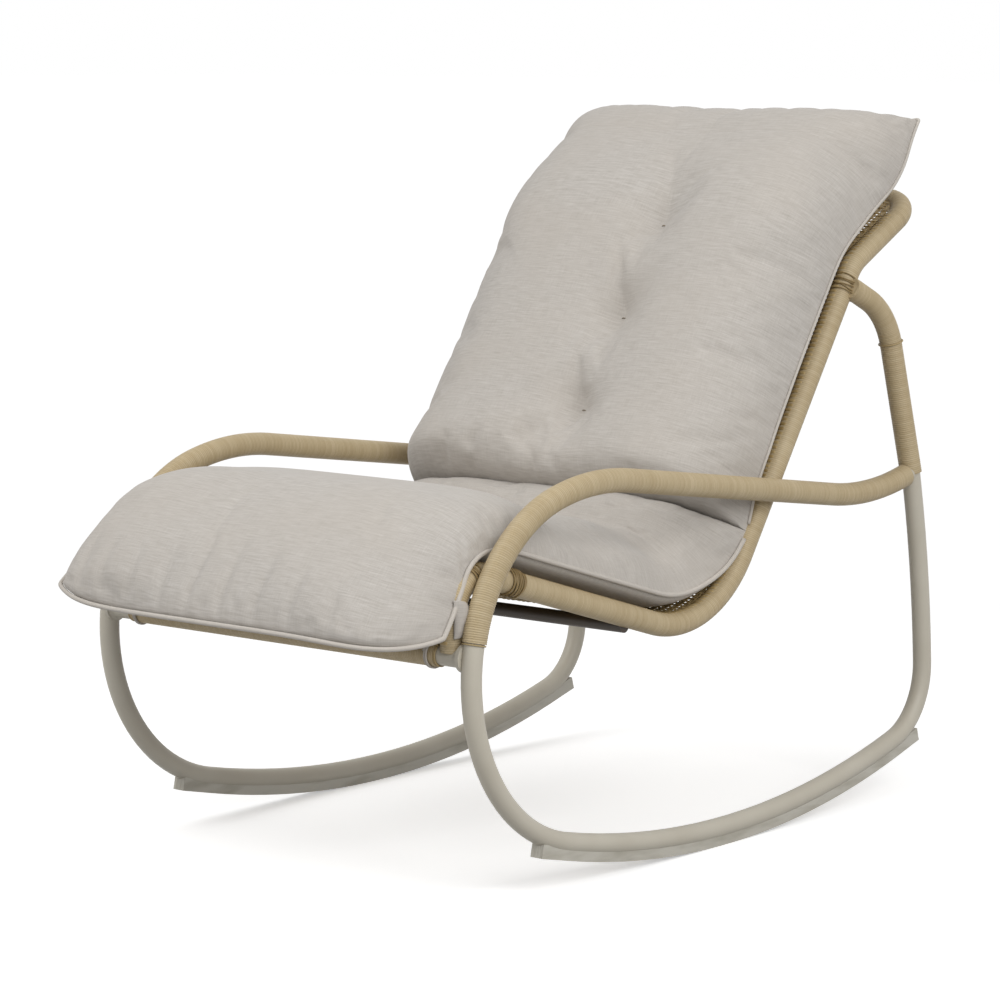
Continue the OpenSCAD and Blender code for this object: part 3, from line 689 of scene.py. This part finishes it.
def fill(piece, held, most):
    """Fills a sewn shape: the mesh is run as slack cloth with air pressed inside it, the held points
    stay, and no point ends further than most from where it began."""
    scene = bpy.context.scene
    last = 20
    count = len(piece.data.vertices)
    before = np.empty(count * 3, "f4")
    piece.data.vertices.foreach_get("co", before)
    before = before.reshape(-1, 3)
    group = piece.vertex_groups.new(name="held")
    group.add(held.tolist(), 1.0, "REPLACE")
    cloth = piece.modifiers.new("filling", "CLOTH")
    settings = cloth.settings
    settings.quality = 6
    settings.mass = 0.2
    settings.tension_stiffness = 20
    settings.compression_stiffness = 20
    settings.shear_stiffness = 8
    settings.bending_stiffness = 0.4
    settings.use_pressure = True
    settings.uniform_pressure_force = 4
    settings.shrink_min = -0.025
    settings.effector_weights.gravity = 0
    settings.vertex_group_mass = "held"
    cloth.collision_settings.use_collision = False
    cloth.point_cache.frame_start = 1
    cloth.point_cache.frame_end = last
    for number in range(1, last + 1):
        scene.frame_set(number)
    shaped = piece.evaluated_get(bpy.context.evaluated_depsgraph_get())
    after = np.empty(count * 3, "f4")
    shaped.data.vertices.foreach_get("co", after)
    move = after.reshape(-1, 3) - before
    far = np.linalg.norm(move, axis=1, keepdims=True) + 1e-9
    piece.modifiers.remove(cloth)
    scene.frame_set(1)
    placed = before + move / far * most * np.tanh(far / most)
    piece.data.vertices.foreach_set("co", placed.ravel())
    piece.data.update()


def slub_cloth(name, pale, deep, warm):
    """Plain weave with thick and thin threads: streaks across and, fainter, along the pad."""
    cloth = Finish(bpy.data.materials.new(name))
    uv = cloth.uv()
    weft = cloth.noise(cloth.stretched(uv, (55.0, 900.0, 1.0)), 1.0, 3.0, 0.6)
    warp = cloth.noise(cloth.stretched(uv, (900.0, 45.0, 1.0)), 1.0, 3.0, 0.6)
    slub = cloth.noise(cloth.stretched(uv, (28.0, 420.0, 1.0)), 1.0, 2.0, 0.5)
    drift = cloth.noise(cloth.place(), 7.0, 3.0)
    threads = weft * 0.45 + warp * 0.25 + slub * 0.3
    colour = cloth.mix(cloth.step(threads, 0.32, 0.68), deep, pale)
    colour = cloth.mix(cloth.step(drift, 0.35, 0.7) * 0.35, colour, warm)
    return cloth.shade(Base_Color=colour, Roughness=0.92, Sheen_Weight=0.15,
                       Normal=cloth.bump(threads, 0.0012, 0.45))


cloth = slub_cloth("slubbed_cloth", tint(198, 193, 187), tint(164, 158, 150), tint(184, 176, 166))
for name, open_s in (("seat", 0.0), ("back", pad_l)):
    piece, held = panel(name + "_cushion", open_s, cloth)
    fill(piece, held, 0.012)
    smooth = piece.modifiers.new("smooth", "SUBSURF")
    smooth.levels = 1
    smooth.render_levels = 1
    settle(piece, "cushion", name + "_panel")


# Piping: a cord covered in the pad's fabric, sewn into the seam round each panel's open edge. The
# back's is thinner than the seat's.
piping_sunk = 0.6
piping_steps = 160
piping_girth = 0.019


def piping(name, open_s, radius, material):
    """A round cord whose middle follows the smoothed seam, a little outside it: up one side, across
    the open end and down the other."""
    down = np.linspace(1, 0, piping_steps) ** 1.5 * 0.985
    across = np.linspace(-1, 1, piping_steps)[1:-1]
    a = np.concatenate([-np.ones(piping_steps), across, np.ones(piping_steps)])
    b = np.concatenate([down, np.zeros(len(across)), down[::-1]])
    seam, left = (v[0] for v in pad_sheet(open_s, a[None], b[None], True))
    for _ in range(6):
        seam[1:-1] = (seam[:-2] + 2 * seam[1:-1] + seam[2:]) / 4
    along = unit(np.gradient(seam, axis=0))
    side = unit(np.cross(along, left))
    outward = np.sign((side * (seam - seam.mean(0))).sum(-1, keepdims=True))
    centre = seam + side * outward * (radius - piping_sunk)
    turn = np.linspace(0, 1, 13)
    points = rings(centre, side, np.cross(along, side), np.full((len(a), 12), radius), turn[None, :-1])
    length = np.cumsum(np.linalg.norm(np.diff(centre, axis=0), axis=1)) * MM
    marks = np.stack(np.broadcast_arrays(np.r_[0, length][:, None], turn[None] * piping_girth), -1)
    return shell(name, points[None], marks[None], material)


piping_cloth = slub_cloth("piping_cloth", tint(201, 195, 187), tint(180, 173, 164), tint(192, 184, 174))
for name, open_s, radius in (("seat_piping", 0.0, 3.0), ("back_piping", pad_l, 2.0)):
    settle(piping(name + "_cord", open_s, radius, piping_cloth), "piping", name)


# Tuft stitches: short loops of thread, sewn through the back panel at each tuft, that pull its
# cover down.
def thread_path(name, centre, radius, material):
    """Round thread along paths, centre[path, step]: rings of a radius about each step, across the
    path's own direction."""
    along = unit(np.gradient(centre, axis=1))
    side = unit(np.cross(along, X + 0.31 * Z))
    turn = np.linspace(0, 1, 9)
    height = np.full(centre.shape[:2] + (8,), radius)
    points = rings(centre, side, np.cross(along, side), height, turn[:-1])
    return shell(name, points, strand_marks(points, np.arange(len(centre))), material)


stitch_thread = slub_cloth("stitch_thread", tint(150, 140, 124), tint(118, 108, 92), tint(140, 128, 110))
swing = np.linspace(-1, 1, 13)[:, None]
hoop = swing * 4.5 * X + (1 - swing ** 2) * 1.6 * (Z - Y) + swing ** 2 * (Y - Z) * 1.2
settle(thread_path("tuft_stitches", tuft_places()[:, None] + hoop, 0.8, stitch_thread), "cushion")


# Lashings: a wicker strand wound there and back, so that its turns cross, on both sides of where
# each seat tube passes its front post, and where each strut meets its back tube.
steps_a_turn = 28
lash_up = 1.1
second_up = 0.7
end_in = 1.6
strut_side = 28


def lashing(start, middle, width, turns, toward=0.0, lump=0.0):
    """The middle line of a strand: the distance along the tube goes there and back evenly, with a
    small sway, and the radius grows by lump on the side that faces the next tube. The way back
    lies over the way there, and both ends are tucked in."""
    t = np.linspace(0, 1, turns * steps_a_turn + 1)
    angle = 2 * np.pi * turns * t
    along = middle + width * (abs(2 * t - 1) - 0.5) + 1.1 * np.sin(1.7 * angle)
    place, heading, left = walk(side_run, along, *start)
    reach = wound_r + lash_up + second_up * (t > 0.5) - end_in * ((t < 0.01) | (t > 0.99))
    reach = reach + lump * np.maximum(np.cos(angle - toward), 0) ** 2
    other = np.cross(heading, left)
    return place + reach[:, None] * (left * np.cos(angle)[:, None] + other * np.sin(angle)[:, None])


lash = flat_wicker("lashing_wicker", tint(150, 128, 86), tint(98, 78, 46))
for side, name in ((1, "left"), (-1, "right")):
    start = ((side * seat_x, *seat_foot), *facing(90))
    strut_way = math.radians(180 - side * strut_side)
    for place, line, thread_r in (("post", lashing(start, 178.0, 26.0, 8), 1.2),
                                  ("corner", lashing(start, 104.0, 12.0, 6), 1.0),
                                  ("strut", lashing(start, 1090.0, 24.0, 6, strut_way, 11.0), 0.85)):
        settle(thread_path(f"{name}_{place}_lashing", line[None], thread_r, lash), "strand")

# Pad corners: at both front corners the pad's lower cloth is tucked down in a soft fold round the
# front of the seat tube, and a cord of the same cloth ties it to the front rail.
tuck_angle = (-45.0, 62.0)
tuck_z = (330.0, 376.0)
tuck_r = 17.6
tuck_swell = 4.5
tuck_crease = 0.98
tuck_rise = 24
tuck_fall = 10
tuck_t = 2.4
tie_x = 244.0
tie_r = 16.5
tie_turns = 2.1
tie_cord_r = 1.3
knot_x = 250.0
knot_cord_r = 1.5


def tuck(side):
    """A soft fold round an upright tube: a sheet that swells between its ends and has shallow
    slanting creases. Its lower edge rises, and its upper edge falls, by the square of across."""
    across, up = np.meshgrid(np.linspace(0, 1, 33), np.linspace(0, 1, 40))
    angle = np.radians(tuck_angle[0] + (tuck_angle[1] - tuck_angle[0]) * across)
    crease = tuck_crease * np.sin(9 * across + 5 * up) * np.sin(np.pi * across)
    swell = tuck_swell * np.sin(np.pi * up) ** 0.6 * np.sin(np.pi * across) ** 0.6
    radius = tuck_r + swell + crease
    edge = tuck_z[0] + tuck_rise * across ** 2
    z = edge + up * (tuck_z[1] - tuck_fall * across ** 2 - edge)
    outer, inner = (np.stack([side * (seat_x + r * np.cos(angle)), seat_foot[0] + r * np.sin(angle), z], -1)
                    for r in (radius, radius - tuck_t))
    ring = np.concatenate([outer, inner[:, ::-1]], 1)
    return ring if side > 0 else ring[:, ::-1]


def tie_loops(side):
    """Turns of cord round the front rail, creeping along it with a small sway."""
    t = np.linspace(0, 1, 90)
    turn = 2 * np.pi * (tie_turns * t - 0.2)
    return np.stack([side * (tie_x + 5 * t + 1.5 * np.sin(turn)), seat_foot[0] + tie_r * np.sin(turn),
                     seat_foot[1] + tie_r * np.cos(turn)], -1)


def tie_knot(side):
    """A small knot on top of the rail: a curve that swings at its own pace on each axis."""
    t = np.linspace(0, 2 * np.pi * 1.9, 70)
    return np.stack([side * (knot_x + 3.2 * np.cos(1.5 * t)), seat_foot[0] - 9 + 2.6 * np.sin(2.3 * t),
                     seat_foot[1] + 20 + 5.5 * np.sin(t)], -1)


for side, name in ((1, "left"), (-1, "right")):
    ring = tuck(side)
    across, up = np.linspace(0, 0.1, ring.shape[1] + 1), np.linspace(0, 0.08, len(ring))
    marks = np.stack(np.meshgrid(across, up), -1)
    fold = shell(name + "_corner_tuck", ring[None], marks[None], cloth)
    settle(fold, "cushion")
    settle(thread_path(name + "_tie", tie_loops(side)[None], tie_cord_r, piping_cloth), "piping")
    settle(thread_path(name + "_tie_knot", tie_knot(side)[None], knot_cord_r, piping_cloth), "piping")

# Studio: a plain pale floor that keeps the shadow, a wide soft lamp high at the front left, a
# weaker one at the right, and an even surround that is white where it is seen.
floor_grey = (0.37, 0.37, 0.37, 1)
floor_glow = 0.37
white_from, white_to = 0.7, 2.0
surround = 0.56
aim_at = Vector((0, 0, 0.45))
lamps = (("key_lamp", (-1.6, -3.2, 3.6), 3.4, 88),
         ("side_lamp", (3.4, -1.0, 2.4), 2.4, 76))


def seen_by(finish):
    """1 on a ray from the camera, a mirror or glass, and 0 on the rays that light the chair."""
    kinds = ("Is Camera Ray", "Is Glossy Ray", "Is Transmission Ray")
    camera_ray, mirror, glass = (finish.add("ShaderNodeLightPath", out=kind) for kind in kinds)
    return (camera_ray + mirror + glass).math("MINIMUM", 1.0)


floor_mesh = bpy.data.meshes.new("studio_floor")
floor_mesh.from_pydata([(-60, -60, 0), (60, -60, 0), (60, 60, 0), (-60, 60, 0)], [], [(0, 1, 2, 3)])
floor = bpy.data.objects.new("studio_floor", floor_mesh)
bpy.context.scene.collection.objects.link(floor)
paint = Finish(bpy.data.materials.new("studio_floor"))
seen = seen_by(paint)
distance = paint.add("ShaderNodeVectorMath", {"operation": "LENGTH"}, {0: paint.place()}, "Value")
far = paint.step(distance, white_from, white_to) * seen
near_colour = paint.mix(seen, floor_grey, (0.97, 0.97, 0.97, 1))
floor_mesh.materials.append(paint.shade(
    Base_Color=paint.mix(far, near_colour, (0, 0, 0, 1)), Roughness=1.0, Specular_IOR_Level=0.0,
    Emission_Color=(1, 1, 1, 1), Emission_Strength=(seen - far) * floor_glow + far * 1.02))
for name, at, size, power in lamps:
    lamp = bpy.data.lights.new(name, "AREA")
    lamp.size = size
    lamp.energy = power
    holder = bpy.data.objects.new(name, lamp)
    bpy.context.scene.collection.objects.link(holder)
    aim = (aim_at - Vector(at)).to_track_quat("-Z", "Y").to_matrix().to_4x4()
    holder.matrix_world = Matrix.Translation(at) @ aim
sky = Finish(bpy.data.worlds.new("studio"), "Background")
bpy.context.scene.world = sky.made
sky.shade(Color=(1, 1, 1, 1), Strength=seen_by(sky) * (1 - surround) + surround)
